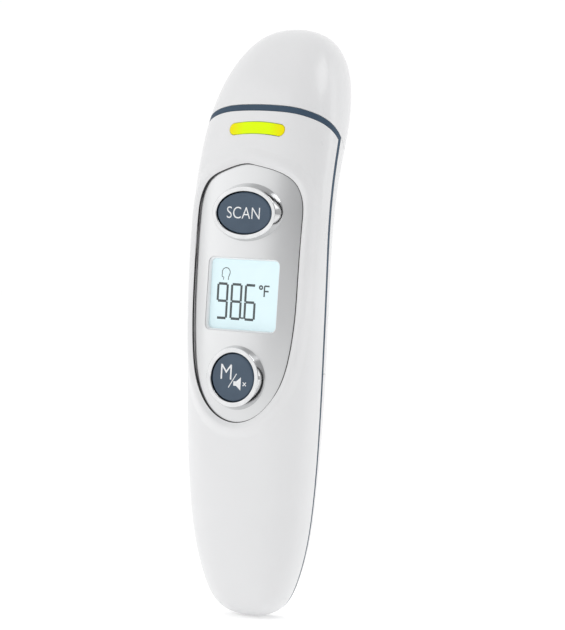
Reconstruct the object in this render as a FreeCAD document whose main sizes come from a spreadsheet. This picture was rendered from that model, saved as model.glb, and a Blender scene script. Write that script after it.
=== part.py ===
import FreeCAD
import Part
import Sketcher
import math
import os
from FreeCAD import Vector

# Digital ear and forehead thermometer, standing on its tail: +Z up the handle, the display
# faces -Y, and the head leans back towards +Y. Lengths are millimetres.

doc = FreeCAD.newDocument("EarThermometer")
sheet = doc.addObject("Spreadsheet::Sheet", "Sizes")

SIZES = [
    # the outer form
    ("form_height", 150.0), ("form_width", 37.2), ("form_depth", 34.0),
    ("front_fullness", 2.6), ("rear_fullness", 2.2),
    # shells
    ("wall", 2.0), ("backing_wall", 2.9), ("backing_lip", 1.5), ("shell_gap", 0.12),
    ("board_gap", 0.1), ("tray_gap", 0.3), ("join", 0.2),
    # the parting of front and rear, in the YZ plane
    ("parting_foot", 0.7), ("parting_slope", 0.0667), ("parting_straight", 95.0),
    ("parting_top", -1.9), ("strip_width", 1.5), ("strip_foot_width", 0.7),
    # the shoulder, where the head cap meets the body
    ("shoulder_drop", 21.0), ("shoulder_front", -11.0), ("shoulder_tilt", 37.0),
    ("head_tilt", 30.0), ("head_centre_depth", -0.5), ("collar_height", 3.5),
    ("collar_skirt", 3.0), ("collar_wall", 1.5),
    # head cap
    ("cap_wall", 1.6), ("cap_seat_gap", 0.15), ("cap_hole_radius", 5.6),
    ("cap_hole_from_shoulder", 20.0), ("grommet_wall", 0.8), ("grommet_gap", 0.02),
    ("grommet_proud", 0.25), ("grommet_inside", 0.5), ("seat_low", 4.4), ("seat_high", 7.0),
    ("seat_wall", 6.0), ("seat_inset", 8.2), ("magnet_radius", 1.5),
    ("magnet_thickness", 1.2), ("magnet_inset", 6.0), ("magnet_front", 2.0),
    # probe
    ("nozzle_base_radius", 6.8), ("nozzle_tip_radius", 3.9), ("nozzle_length", 16.5),
    ("nozzle_flange_radius", 8.0), ("nozzle_flange", 1.2), ("nozzle_tip_round", 0.7),
    ("turret_height", 5.2), ("turret_rim", 0.2), ("nozzle_hollow_radius", 5.0),
    ("waveguide_radius", 2.75), ("waveguide_wall", 0.4), ("waveguide_start", 3.0),
    ("probe_window_radius", 2.95), ("probe_window_thickness", 0.6), ("probe_gap", 0.05),
    ("can_radius", 2.7), ("can_top", 2.9), ("can_base", -0.9), ("can_flange_radius", 3.3),
    ("can_flange", 0.4), ("holder_radius", 5.4), ("holder_low", -4.0), ("holder_top", 6.0),
    ("holder_neck_radius", 4.2), ("neck_gap", 0.3), ("waveguide_seat", 6.0),
    ("flex_width", 3.6), ("flex_thickness", 0.25), ("flex_turn", 1.5), ("flex_fold", -4.6),
    ("flex_fold_drop", 2.4), ("flex_foot", 1.2),
    # control panel
    ("panel_half_width", 14.7), ("panel_height", 64.4), ("panel_from_top", 35.8),
    ("panel_sink", 0.5), ("panel_thickness", 1.2), ("panel_gap", 0.15),
    # display
    ("display_from_top", 68.4), ("display_width", 20.4), ("display_height", 18.4),
    ("display_corner", 1.6), ("window_front", -13.7), ("window_lip", 0.9),
    ("window_plate", 0.8), ("glass_thickness", 1.4), ("glass_margin", 1.5),
    ("glass_gap", 0.1), ("backlight_thickness", 1.5), ("zebra_width", 1.4),
    ("zebra_end", 0.5), ("frame_wall", 1.0), ("frame_corner", 1.0), ("frame_gap", 0.3),
    # main board
    ("board_front", -9.6), ("board_thickness", 1.2), ("board_width", 24.0),
    ("board_low", 54.0), ("board_from_top", 27.2), ("board_tongue_width", 18.0),
    ("board_tongue", 7.0), ("board_corner", 2.0),
    # keys, their rings and switches
    ("scan_from_top", 48.0), ("scan_major", 7.7), ("scan_minor", 5.2),
    ("scan_ring_face", 1.3), ("scan_ring_spread", 0.7),
    ("memory_from_top", 89.0), ("memory_radius", 6.0), ("memory_ring_face", 1.4),
    ("memory_ring_spread", 0.6), ("ring_proud", 1.7), ("ring_sink", 2.0), ("ring_gap", 0.15),
    ("ring_step", 1.0), ("ring_skirt", 3.0), ("spigot_start", 0.8), ("ring_round", 0.22),
    ("key_proud", 1.45), ("key_gap", 0.2), ("key_crown", 0.5), ("key_flange", 0.7),
    ("flange_gap", 0.25), ("key_stop_gap", 0.05), ("key_stem", 2.0),
    ("switch_side", 6.0), ("switch_height", 2.2), ("plunger_radius", 1.6),
    ("plunger_proud", 0.5), ("plunger_sunk", 0.4), ("plunger_gap", 0.1), ("switch_well", 1.2),
    # indicator
    ("indicator_from_top", 26.5), ("indicator_width", 15.6), ("indicator_height", 2.9),
    ("indicator_arch", 0.5), ("indicator_depth", 2.0), ("indicator_proud", 0.1),
    ("led_side", 1.6), ("led_height", 0.7), ("led_drop", 1.0), ("led_pitch", 5.5),
    # battery bay
    ("cell_radius", 5.25), ("cell_length", 44.5), ("nub_radius", 1.9), ("nub_height", 1.0),
    ("cell_apart", 0.3), ("cell_standoff", 1.85), ("bay_low", 12.2), ("spring_room", 3.8),
    ("spring_wire", 0.4), ("spring_radius", 2.9), ("spring_turns", 3.0),
    ("contact_thickness", 0.4), ("contact_side", 7.4), ("contact_reach", 2.6),
    ("tray_wall", 1.4), ("tray_lip", 3.0), ("cell_gap", 0.2), ("cell_round", 0.5),
    # battery cover
    ("cover_top", 62.8), ("cover_gap", 0.25), ("tongue_offset", 3.0), ("tongue_width", 4.0),
    ("tongue_length", 3.0), ("tongue_thickness", 1.0), ("tongue_root", 4.0),
    ("tongue_bite", 0.3), ("rest_flat", 0.7),
    ("rest_low", 18.0), ("rest_high", 46.0), ("grip_grooves", 4.0), ("grip_pitch", 2.6),
    ("grip_low", 49.5), ("grip_width", 13.0), ("grip_depth", 0.6), ("grip_groove", 1.2),
    ("grip_round", 0.54),
    ("pad_width", 9.0), ("pad_low", 26.0), ("pad_high", 46.0), ("pad_gap", 0.4),
    # screws and bosses
    ("low_screw_from_top", 83.9), ("low_screw_offset", 9.5), ("high_screw_from_top", 39.6),
    ("screw_radius", 1.0), ("screw_head_radius", 1.6), ("screw_head", 1.3),
    ("screw_length", 7.4), ("screw_seat", 3.4), ("pilot_depth", 3.3),
    ("boss_wall", 1.0), ("boss_reach", 5.0), ("boss_gap", 0.1), ("pilot_radius", 0.85),
    ("screw_play", 0.2), ("slot_length", 2.2), ("slot_width", 0.5), ("slot_depth", 0.6),
    # parts on the board
    ("buzzer_radius", 5.5), ("buzzer_height", 2.6), ("buzzer_port", 0.8),
    ("buzzer_drop", 3.0), ("chip_height", 1.2), ("hall_width", 3.0), ("hall_height", 4.0),
    ("hall_thickness", 1.0), ("hall_offset", 7.9), ("hall_drop", 2.6),
    # rating label
    ("label_width", 18.0), ("label_height", 22.0), ("label_from_top", 62.0),
    ("label_corner", 1.9), ("label_sink", 0.3), ("label_gap", 0.1), ("label_under", 0.05),
]

# Lines of the outer form: height as a share of form_height, half width as a share of half of
# form_width, then the front, rear and widest lines as shares of form_depth.
LINES = [
    (1.33, 40.8, -20.0, 13.5, -5.9),
    (6.67, 67.4, -30.9, 23.8, -8.2),
    (20.0, 88.2, -41.2, 28.2, -13.8),
    (40.0, 96.1, -49.4, 27.4, -19.1),
    (54.7, 98.9, -49.1, 23.4, -23.5),
    (68.0, 100.0, -46.5, 22.9, -24.4),
    (76.7, 99.6, -42.1, 30.3, -18.2),
    (83.3, 97.4, -37.1, 40.3, -7.9),
    (88.7, 90.5, -29.7, 47.4, 1.5),
    (93.3, 78.9, -18.2, 49.4, 9.1),
    (98.8, 42.1, 2.6, 38.5, 17.4),
]
POLES = (-5.3, 18.8)

rows = list(SIZES)
for number, line in enumerate(LINES):
    for name, value in zip(("level", "side", "front", "rear", "widest"), line):
        rows.append(("line_%s_%s" % (chr(ord("a") + number), name), value))
for number, (alias, value) in enumerate(rows, 1):
    sheet.set("A%d" % number, alias)
    sheet.set("B%d" % number, "%g" % value)
    sheet.setAlias("B%d" % number, alias)
doc.recompute()


def size(expression):
    """The value of an expression written in the sheet's names."""
    return float(sheet.evalExpression(expression))


def bind(item, prop, expression):
    """Ties a property to an expression; the sheet's names are written bare."""
    names = sorted((alias for alias, _ in SIZES), key=len, reverse=True)
    words = []
    word = ""
    for letter in expression + " ":
        if letter.isalnum() or letter == "_":
            word += letter
        else:
            words.append("Sizes." + word if word in names else word)
            words.append(letter)
            word = ""
    item.setExpression(prop, "".join(words).strip())


wall = size("wall")
height = size("form_height")
nodes = []


def keep(item, label):
    """Names a finished piece after its node."""
    item.Label = label
    nodes.append(item)
    return item


def feature(label, shape):
    """A piece made with Part's own functions."""
    item = doc.addObject("Part::Feature", label)
    item.Shape = shape
    item.Placement = FreeCAD.Placement()
    return keep(item, label)


# ---------------------------------------------------------------- the outer form

AROUND = 20


def places_up_the_form():
    """Where each line lies along the form's side, as a share of the way up it."""
    run = [(0.0, 0.0)]
    for index in range(len(LINES)):
        prefix = "line_%s_" % chr(ord("a") + index)
        run.append((size("form_width") / 200 * size(prefix + "side"),
                    height * size(prefix + "level") / 100))
    run.append((0.0, height))
    lengths = [0.0]
    for last, following in zip(run, run[1:]):
        lengths.append(lengths[-1] + math.dist(last, following))
    return [length / lengths[-1] for length in lengths]


PLACES = places_up_the_form()


def ring_of_form(index):
    """Points round the form at one of its lines, level with each other."""
    prefix = "line_%s_" % chr(ord("a") + index)
    level = height * size(prefix + "level") / 100
    across = size("form_width") / 2 * size(prefix + "side") / 100
    depth = size("form_depth") / 100
    middle = depth * size(prefix + "widest")
    points = []
    for step in range(AROUND):
        turn = 2 * math.pi * step / AROUND + math.pi / 2
        behind = math.sin(turn) >= 0
        fullness = size("rear_fullness" if behind else "front_fullness")
        line = depth * size(prefix + ("rear" if behind else "front"))
        reach = math.copysign(abs(math.cos(turn)) ** (2 / fullness), math.cos(turn))
        rise = abs(math.sin(turn)) ** (2 / fullness)
        points.append(Vector(across * reach, middle + (line - middle) * rise, level))
    return points


def level_speed(start, finish, share):
    """How fast a line leaves a pole, lying level there."""
    way = finish - start
    speed = way.Length / share
    way.z = 0
    return way.normalize() * speed


def surface_through(rings, foot, crown):
    """A smooth closed surface through rings of points, rounded over at both poles."""
    loops = []
    for ring in rings:
        loop = Part.BSplineCurve()
        loop.interpolate(Points=ring, PeriodicFlag=True,
                         Parameters=[step / AROUND for step in range(AROUND + 1)])
        loops.append(loop)
    columns = []
    for index in range(loops[0].NbPoles):
        run = [foot] + [loop.getPole(index + 1) for loop in loops] + [crown]
        column = Part.BSplineCurve()
        column.interpolate(Points=run, Parameters=PLACES, Scale=False,
                           InitialTangent=level_speed(run[0], run[1], PLACES[1]),
                           FinalTangent=level_speed(run[-2], run[-1], 1 - PLACES[-2]))
        columns.append(column)
    surface = Part.BSplineSurface()
    surface.buildFromPolesMultsKnots(
        [column.getPoles() for column in columns], loops[0].getMultiplicities(),
        columns[0].getMultiplicities(), loops[0].getKnots(), columns[0].getKnots(),
        True, False, 3, 3)
    return surface


OUTER = surface_through(
    [ring_of_form(index) for index in range(len(LINES))],
    Vector(0, size("form_depth") * POLES[0] / 100, 0),
    Vector(0, size("form_depth") * POLES[1] / 100, height))
forms = {}


def form(inset):
    """The whole outer body as one solid, its surface moved inwards by inset."""
    if inset not in forms:
        surface = OUTER
        if inset != 0:
            rings = []
            for place in PLACES[1:-1]:
                ring = []
                for step in range(AROUND):
                    at = (step / AROUND, place)
                    outward = OUTER.normal(*at)
                    if outward.dot(OUTER.value(*at) - OUTER.value((at[0] + 0.5) % 1, at[1])) < 0:
                        outward = outward * -1
                    ring.append(OUTER.value(*at) - outward * inset)
                rings.append(ring)
            surface = surface_through(rings, OUTER.value(0, 0) + Vector(0, 0, inset),
                                      OUTER.value(0, 1) - Vector(0, 0, inset))
        solid = Part.Solid(Part.Shell([surface.toShape()]))
        if solid.Volume < 0:
            solid.reverse()
        forms[inset] = solid
    return forms[inset].copy()


# ---------------------------------------------------------------- cutting solids

FAR = 100.0


def parting_edge(shift, foot_shift):
    """The parting line in the YZ plane: straight up the handle, then curving back."""
    straight = size("parting_straight")
    slope = size("parting_slope")
    foot = Vector(0, size("parting_foot") + 5 * slope + foot_shift, -5)
    knee = Vector(0, size("parting_foot") - slope * straight + shift, straight)
    along = (knee - foot).normalize()
    top = Vector(0, size("parting_top") + shift, height - size("shoulder_drop") - 4)
    bend = knee + along * ((top - knee).Length / 2)
    curve = Part.BezierCurve()
    curve.setPoles([knee, bend, top])
    last = (top - bend).normalize()
    end = top + last * FAR
    return [Part.makeLine(foot, knee), curve.toShape(), Part.makeLine(top, end)], foot, end


def beside_parting(shift, foot_shift, way):
    """Everything on the front (-1) or rear (+1) side of the parting line."""
    edges, foot, end = parting_edge(shift, foot_shift)
    corner_top = Vector(0, way * 2 * FAR, end.z)
    corner_low = Vector(0, way * 2 * FAR, foot.z)
    edges += [Part.makeLine(end, corner_top), Part.makeLine(corner_top, corner_low),
              Part.makeLine(corner_low, foot)]
    solid = Part.Face(Part.Wire(edges)).extrude(Vector(2 * FAR, 0, 0))
    solid.translate(Vector(-FAR, 0, 0))
    return solid


shoulder_tilt = math.radians(size("shoulder_tilt"))
shoulder_up = Vector(0, math.sin(shoulder_tilt), math.cos(shoulder_tilt))
shoulder_at = Vector(0, size("shoulder_front"), height - size("shoulder_drop"))
head_tilt = math.radians(size("head_tilt"))
head_up = Vector(0, math.sin(head_tilt), math.cos(head_tilt))
head_drop = (size("head_centre_depth") - shoulder_at.y) * math.tan(shoulder_tilt)
head_at = Vector(0, size("head_centre_depth"), shoulder_at.z - head_drop)


def above_shoulder(lift, reach=2 * FAR):
    """The space above the shoulder plane, from lift upwards."""
    back = Vector(0, math.cos(shoulder_tilt), -math.sin(shoulder_tilt))
    centre = shoulder_at + shoulder_up * lift
    right = Vector(FAR, 0, 0)
    corners = [centre - right - back * FAR, centre + right - back * FAR,
               centre + right + back * FAR, centre - right + back * FAR]
    wire = Part.makePolygon(corners + [corners[0]])
    return Part.Face(wire).extrude(shoulder_up * reach)


def slab(low, high):
    """The space between two levels."""
    return Part.makeBox(2 * FAR, 2 * FAR, high - low, Vector(-FAR, -FAR, low))


def on_head(shape, along):
    """Moves a shape drawn up the Z axis onto the head's axis."""
    shape.rotate(Vector(0, 0, 0), Vector(1, 0, 0), -size("head_tilt"))
    shape.translate(head_at + head_up * along)
    return shape


def rounded_box(width, tall, corner, x, z, front, rear):
    """A block seen as a rounded rectangle from the front."""
    block = Part.makeBox(width, rear - front, tall, Vector(x - width / 2, front, z - tall / 2))
    if corner <= 0:
        return block
    upright = [edge for edge in block.Edges
               if abs(edge.Vertexes[0].Point.y - edge.Vertexes[-1].Point.y) > 1e-6]
    return block.makeFillet(corner, upright)


def panel_prism(grow):
    """The control panel's outline, carried straight back: an arched top with round
    shoulders, sides that draw in a little, and a round foot."""
    half = size("panel_half_width") + grow
    top = height - size("panel_from_top") + grow
    foot = height - size("panel_from_top") - size("panel_height") - grow
    tall = top - foot
    points = [
        Vector(0, 0, top),
        Vector(half * 0.52, 0, top - tall * 0.026),
        Vector(half * 0.84, 0, top - tall * 0.068),
        Vector(half * 0.97, 0, top - tall * 0.125),
        Vector(half, 0, top - tall * 0.24),
        Vector(half * 0.995, 0, foot + tall * 0.47),
        Vector(half * 0.935, 0, foot + tall * 0.28),
        Vector(half * 0.80, 0, foot + tall * 0.15),
        Vector(half * 0.61, 0, foot + tall * 0.075),
        Vector(half * 0.34, 0, foot + tall * 0.021),
        Vector(0, 0, foot),
    ]
    left = [Vector(-point.x, 0, point.z) for point in reversed(points[1:-1])]
    curve = Part.BSplineCurve()
    curve.interpolate(Points=points + left, PeriodicFlag=True)
    face = Part.Face(Part.Wire(curve.toShape()))
    solid = face.extrude(Vector(0, FAR, 0))
    rear = size("parting_foot - parting_slope * parting_straight - 2")
    solid.translate(Vector(0, rear - FAR, 0))
    return solid


def oval_prism(major, minor, z, front, rear):
    """An oval bar along Y."""
    oval = Part.Ellipse(Vector(0, front, z), major, minor)
    turned = oval.toShape()
    turned.rotate(Vector(0, front, z), Vector(1, 0, 0), 90)
    return Part.Face(Part.Wire(turned)).extrude(Vector(0, rear - front, 0))


def round_bar(radius, x, z, front, rear):
    """A round bar along Y."""
    return Part.makeCylinder(radius, rear - front, Vector(x, front, z), Vector(0, 1, 0))


def indicator_bar(grow):
    """The light bar's outline, arched a little, carried straight back."""
    z = height - size("indicator_from_top")
    half = size("indicator_width") / 2 + grow
    tall = size("indicator_height") / 2 + grow
    arch = size("indicator_arch")
    inner = half - tall
    corners = [
        Part.Arc(Vector(-inner, 0, z + tall - arch), Vector(0, 0, z + tall),
                 Vector(inner, 0, z + tall - arch)),
        Part.Arc(Vector(inner, 0, z + tall - arch), Vector(half, 0, z - arch),
                 Vector(inner, 0, z - tall - arch)),
        Part.Arc(Vector(inner, 0, z - tall - arch), Vector(0, 0, z - tall),
                 Vector(-inner, 0, z - tall - arch)),
        Part.Arc(Vector(-inner, 0, z - tall - arch), Vector(-half, 0, z - arch),
                 Vector(-inner, 0, z + tall - arch)),
    ]
    face = Part.Face(Part.Wire([corner.toShape() for corner in corners]))
    return face.extrude(Vector(0, -FAR, 0))


OVER = 1.0
scan_z = height - size("scan_from_top")
memory_z = height - size("memory_from_top")
display_z = height - size("display_from_top")
board_front = size("board_front")
board_rear = board_front + size("board_thickness")
gap = size("shell_gap")
strip = size("strip_width")
strip_foot = size("strip_foot_width")
frame_half_width = size("display_width / 2 + glass_margin + frame_wall")
frame_half_height = size("display_height / 2 + glass_margin + zebra_width + frame_wall")
low_screw_z = height - size("low_screw_from_top")
screw_places = [(-size("low_screw_offset"), low_screw_z), (size("low_screw_offset"), low_screw_z),
                (0, height - size("high_screw_from_top"))]


def place_on_form(way, level):
    """How far front (0.5) or rear (0) the outer form stands on its middle line at a level."""
    low = 0.0
    high = 1.0
    for _ in range(40):
        middle = (low + high) / 2
        if OUTER.value(way, middle).z < level:
            low = middle
        else:
            high = middle
    return OUTER.value(way, low).y


FRONT = 0.5
REAR = 0.0

# ---------------------------------------------------------------- shells

skin = form(0).cut(form(wall))
front_side = beside_parting(-strip / 2, -strip_foot / 2, -1)
rear_side = beside_parting(strip / 2, strip_foot / 2, 1)
under_band = slab(-FAR, 2 * FAR).cut(above_shoulder(-strip))
under_cap = slab(-FAR, 2 * FAR).cut(above_shoulder(0))


def key_openings(shape):
    """Cuts the holes for the two keys' rings through a piece."""
    scan_ring = size("scan_ring_face + scan_ring_spread - ring_step + ring_gap")
    shape = shape.cut(oval_prism(size("scan_major") + scan_ring, size("scan_minor") + scan_ring,
                                 scan_z, -FAR, board_rear))
    memory_ring = size("memory_ring_face + memory_ring_spread - ring_step + ring_gap")
    return shape.cut(round_bar(size("memory_radius") + memory_ring, 0, memory_z,
                               -FAR, board_rear))


front_shell = skin.common(front_side).common(under_band)
backing = form(size("panel_sink + panel_thickness")).cut(form(size("backing_wall")))
backing = backing.common(panel_prism(size("backing_lip")))
front_shell = front_shell.fuse(backing)
recess = panel_prism(size("panel_gap")).cut(form(size("panel_sink + panel_thickness")))
front_shell = front_shell.cut(recess)
front_shell = key_openings(front_shell)
front_shell = front_shell.cut(rounded_box(
    2 * (frame_half_width + size("frame_gap")), 2 * (frame_half_height + size("frame_gap")),
    size("frame_corner"), 0, display_z, -FAR, board_rear))
front_shell = front_shell.cut(indicator_bar(size("panel_gap")))
for x, z in screw_places:
    boss = round_bar(size("pilot_radius + boss_wall"), x, z,
                     board_front - size("boss_reach"), board_front)
    front_shell = front_shell.fuse(boss.common(form(size("backing_wall - join"))))
    front_shell = front_shell.cut(round_bar(
        size("pilot_radius"), x, z, board_front - size("pilot_depth"), board_front))
feature("front_shell", front_shell)

rear_skin = skin.common(rear_side).common(under_cap)
cover_top = size("cover_top")
slide = Vector(0, size("parting_slope"), -1).normalize()
rear_shell = rear_skin.common(slab(cover_top + size("cover_gap"), 2 * FAR))
label_z = height - size("label_from_top")
label_block = rounded_box(size("label_width + 2 * label_gap"),
                          size("label_height + 2 * label_gap"),
                          size("label_corner + label_gap"), 0, label_z, 0, FAR)
rear_shell = rear_shell.cut(label_block.cut(form(size("label_sink"))))
head_seat = board_rear + size("screw_seat")
for x, z in screw_places:
    boss = round_bar(size("screw_head_radius + screw_play + boss_wall"), x, z, board_rear, FAR)
    rear_shell = rear_shell.fuse(boss.common(form(wall / 2)))
    rear_shell = rear_shell.cut(round_bar(
        size("screw_head_radius + screw_play"), x, z, head_seat, FAR))
    rear_shell = rear_shell.cut(round_bar(
        size("screw_radius + screw_play"), x, z, board_rear - OVER, head_seat + OVER))
feature("rear_shell", rear_shell)

trim = form(0).cut(form(wall)).common(under_cap)
trim = trim.common(beside_parting(strip / 2 - gap, strip_foot / 2 - gap, -1))
trim = trim.cut(beside_parting(gap - strip / 2, gap - strip_foot / 2, -1).common(
    slab(-FAR, 2 * FAR).cut(above_shoulder(gap - strip))))
feature("trim_band", trim)

cover = rear_skin.common(slab(-FAR, cover_top))
rest_middle = (size("rest_low") + size("rest_high")) / 2
rest_level = place_on_form(REAR, rest_middle) - size("rest_flat")
cover = cover.cut(Part.makeBox(2 * FAR, FAR, size("rest_high - rest_low"),
                               Vector(-FAR, rest_level, size("rest_low"))))
for number in range(int(size("grip_grooves"))):
    groove = rounded_box(size("grip_width"), size("grip_groove"), size("grip_round"), 0,
                         size("grip_low") + number * size("grip_pitch"), 0, FAR)
    cover = cover.cut(groove.cut(form(size("grip_depth"))))
for way in (-1, 1):
    tongue = form(size("wall - tongue_bite")).cut(
        form(size("wall + cover_gap + tongue_thickness")))
    tongue = tongue.common(Part.makeBox(
        size("tongue_width"), FAR, size("tongue_length + tongue_root"),
        Vector(way * size("tongue_offset") - size("tongue_width") / 2, 0,
               cover_top - size("tongue_root"))))
    tongue = tongue.cut(form(0).cut(form(size("wall + cover_gap"))).common(
        slab(cover_top, 2 * FAR)))
    cover = cover.fuse(tongue)
feature("battery_cover", cover)

# ---------------------------------------------------------------- head cap and collar

cap_space = above_shoulder(size("cap_seat_gap"))
cap = form(0).cut(form(size("cap_wall"))).common(cap_space)
hole_at = size("cap_hole_from_shoulder")
hole = on_head(Part.makeCylinder(size("cap_hole_radius"), FAR), hole_at)
cap = cap.cut(hole)
feature("head_cap", cap)

grommet = form(-size("grommet_proud")).cut(form(size("cap_wall + grommet_inside"))).common(
    on_head(Part.makeCylinder(size("cap_hole_radius - grommet_gap"), FAR), hole_at))
grommet = grommet.cut(on_head(
    Part.makeCylinder(size("cap_hole_radius - grommet_wall"), FAR), hole_at))
feature("cap_grommet", grommet)

ring_zone = above_shoulder(size("seat_low")).cut(above_shoulder(size("seat_high")))
cap_ring = form(size("cap_wall")).cut(form(size("cap_wall + seat_wall"))).common(ring_zone)
magnets = []
seats = []
for way in (-1, 1):
    place = head_at + shoulder_up * size("seat_low") + Vector(
        way * size("form_width / 2 - magnet_inset"), size("magnet_front"),
        -size("magnet_front") * math.tan(shoulder_tilt))
    magnets.append(Part.makeCylinder(size("magnet_radius"), size("magnet_thickness"),
                                     place, shoulder_up))
    seats.append(Part.makeCylinder(size("magnet_radius"), size("magnet_thickness"),
                                   place - shoulder_up * size("seat_low - collar_height"),
                                   shoulder_up * -1))
for magnet in magnets:
    cap_ring = cap_ring.cut(magnet)
seat_clear = size("form_width / 2 - seat_inset")
cap_ring = cap_ring.cut(Part.makeBox(2 * seat_clear, 2 * FAR, 2 * FAR,
                                     Vector(-seat_clear, -FAR, 0)))
feature("cap_magnet_seats", cap_ring)
feature("cap_magnets", Part.makeCompound(magnets))

THIN = 0.02
collar_inset = size("wall + board_gap")
outline_face = form(collar_inset).common(above_shoulder(-THIN / 2, THIN))
spread = head_up * (2 * FAR)
section = [face for face in outline_face.Faces
           if abs(face.normalAt(0, 0).dot(shoulder_up)) > 0.999]
section_face = max(section, key=lambda face: face.Area)
column = section_face.extrude(spread)
column.translate(head_up * -FAR)
collar = form(collar_inset).common(column)
collar = collar.common(above_shoulder(-size("collar_skirt"),
                                      size("collar_skirt + collar_height")))
hollow = form(size("wall + board_gap + collar_wall")).common(
    above_shoulder(-FAR, FAR + size("collar_height - collar_wall")))
collar = collar.cut(hollow)
turret = on_head(Part.makeCylinder(size("nozzle_flange_radius + turret_rim"),
                                   size("turret_height")), 0)
collar = collar.fuse(turret.cut(hollow))
bore = size("holder_radius + probe_gap")
collar = collar.cut(on_head(Part.makeCylinder(bore, FAR), -FAR / 2))
for seat in seats:
    collar = collar.cut(seat)
for x, z in screw_places:
    collar = collar.cut(round_bar(size("screw_head_radius + screw_play + boss_wall + boss_gap"),
                                  x, z, -FAR, FAR))
feature("probe_collar", collar)
feature("collar_magnets", Part.makeCompound(seats))


# ---------------------------------------------------------------- turned pieces

def turned(label, corners, tilt, x, y, z):
    """A piece turned about its own axis. Corners are (radius, height) expressions."""
    body = doc.addObject("PartDesign::Body", label)
    sketch = body.newObject("Sketcher::SketchObject", label + "_profile")
    plane = [item for item in body.Origin.OriginFeatures if item.Role == "XZ_Plane"][0]
    sketch.AttachmentSupport = [(plane, "")]
    sketch.MapMode = "FlatFace"
    places = [Vector(size(radius), size(level), 0) for radius, level in corners]
    count = len(places)
    for index in range(count):
        sketch.addGeometry(Part.LineSegment(places[index], places[(index + 1) % count]), False)
    for index in range(count):
        following = (index + 1) % count
        sketch.addConstraint(Sketcher.Constraint("Coincident", index, 2, following, 1))
    for index, (radius, level) in enumerate(corners):
        for kind, expression, value, axis in (("DistanceX", radius, places[index].x, -2),
                                              ("DistanceY", level, places[index].y, -1)):
            if abs(value) < 1e-7:
                sketch.addConstraint(Sketcher.Constraint("PointOnObject", index, 1, axis))
                continue
            number = sketch.addConstraint(
                Sketcher.Constraint(kind, -1, 1, index, 1, value))
            bind(sketch, "Constraints[%d]" % number, expression)
    turning = body.newObject("PartDesign::Revolution", label + "_turning")
    turning.Profile = sketch
    turning.ReferenceAxis = (sketch, ["V_Axis"])
    turning.Angle = 360
    body.Placement = FreeCAD.Placement(Vector(0, 0, 0), FreeCAD.Rotation(Vector(1, 0, 0), 1))
    for prop, expression in (("Placement.Base.x", x), ("Placement.Base.y", y),
                             ("Placement.Base.z", z), ("Placement.Rotation.Angle", tilt)):
        bind(body, prop, expression)
    return keep(body, label)


HEAD_Y = "head_centre_depth + (%s) * sin(head_tilt * 1deg)"
HEAD_Z = ("form_height - shoulder_drop - (head_centre_depth - shoulder_front)"
          " * tan(shoulder_tilt * 1deg) + (%s) * cos(head_tilt * 1deg)")


def turned_on_head(label, corners, start):
    """A turned piece on the head's axis, its own zero at start above the shoulder."""
    return turned(label, corners, "-head_tilt", "0", HEAD_Y % start, HEAD_Z % start)


TURRET = "turret_height"
turned_on_head("probe_nozzle", [
    ("nozzle_hollow_radius", "0"),
    ("nozzle_flange_radius", "0"),
    ("nozzle_flange_radius", "nozzle_flange"),
    ("nozzle_base_radius", "nozzle_flange"),
    ("nozzle_tip_radius", "nozzle_length - nozzle_tip_round"),
    ("nozzle_tip_radius - nozzle_tip_round", "nozzle_length"),
    ("probe_window_radius", "nozzle_length"),
    ("probe_window_radius", "nozzle_length - probe_window_thickness"),
    ("waveguide_radius", "nozzle_length - probe_window_thickness"),
    ("waveguide_radius", "nozzle_length - waveguide_seat"),
    ("holder_neck_radius + neck_gap", "holder_top + neck_gap"),
], TURRET)
turned_on_head("probe_window", [
    ("0", "nozzle_length - probe_window_thickness"),
    ("probe_window_radius", "nozzle_length - probe_window_thickness"),
    ("probe_window_radius", "nozzle_length"),
    ("0", "nozzle_length"),
], TURRET)
turned_on_head("waveguide_tube", [
    ("waveguide_radius - waveguide_wall", "waveguide_start"),
    ("waveguide_radius", "waveguide_start"),
    ("waveguide_radius", "nozzle_length - probe_window_thickness - 2 * probe_gap"),
    ("waveguide_radius - waveguide_wall",
     "nozzle_length - probe_window_thickness - 2 * probe_gap"),
], TURRET)
turned_on_head("sensor_can", [
    ("0", "can_base"),
    ("can_flange_radius", "can_base"),
    ("can_flange_radius", "can_base + can_flange"),
    ("can_radius", "can_base + can_flange"),
    ("can_radius", "can_top"),
    ("0", "can_top"),
], TURRET)
turned_on_head("sensor_holder", [
    ("can_flange_radius + probe_gap", "holder_low"),
    ("holder_radius", "holder_low"),
    ("holder_radius", "can_base + can_flange + 2 * probe_gap"),
    ("holder_neck_radius", "can_base + can_flange + 2 * probe_gap"),
    ("holder_neck_radius", "holder_top"),
    ("waveguide_radius", "holder_top"),
    ("waveguide_radius", "can_base + can_flange"),
    ("can_flange_radius + probe_gap", "can_base + can_flange"),
], TURRET)

flex_start = head_at + head_up * size("turret_height + can_base - 2 * probe_gap")
flex_turn = head_at - head_up * size("flex_turn")
flex_foot = Vector(0, board_rear + THIN, flex_turn.z - size("flex_foot"))
flex_run = [flex_start, flex_turn,
            Vector(0, size("flex_fold"), flex_turn.z - size("flex_fold_drop")),
            flex_foot, flex_foot + Vector(0, 0, size("2 * flex_foot"))]
flex_side = Vector(0, size("flex_thickness"), 0)
flex_pieces = []
for start, finish in zip(flex_run, flex_run[1:]):
    wire = Part.makePolygon([start, finish, finish + flex_side, start + flex_side, start])
    piece = Part.Face(wire).extrude(Vector(size("flex_width"), 0, 0))
    piece.translate(Vector(-size("flex_width") / 2, 0, 0))
    flex_pieces.append(piece)
flex = flex_pieces[0].multiFuse(flex_pieces[1:])
feature("sensor_flex", flex)

# ---------------------------------------------------------------- control panel and display

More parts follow.
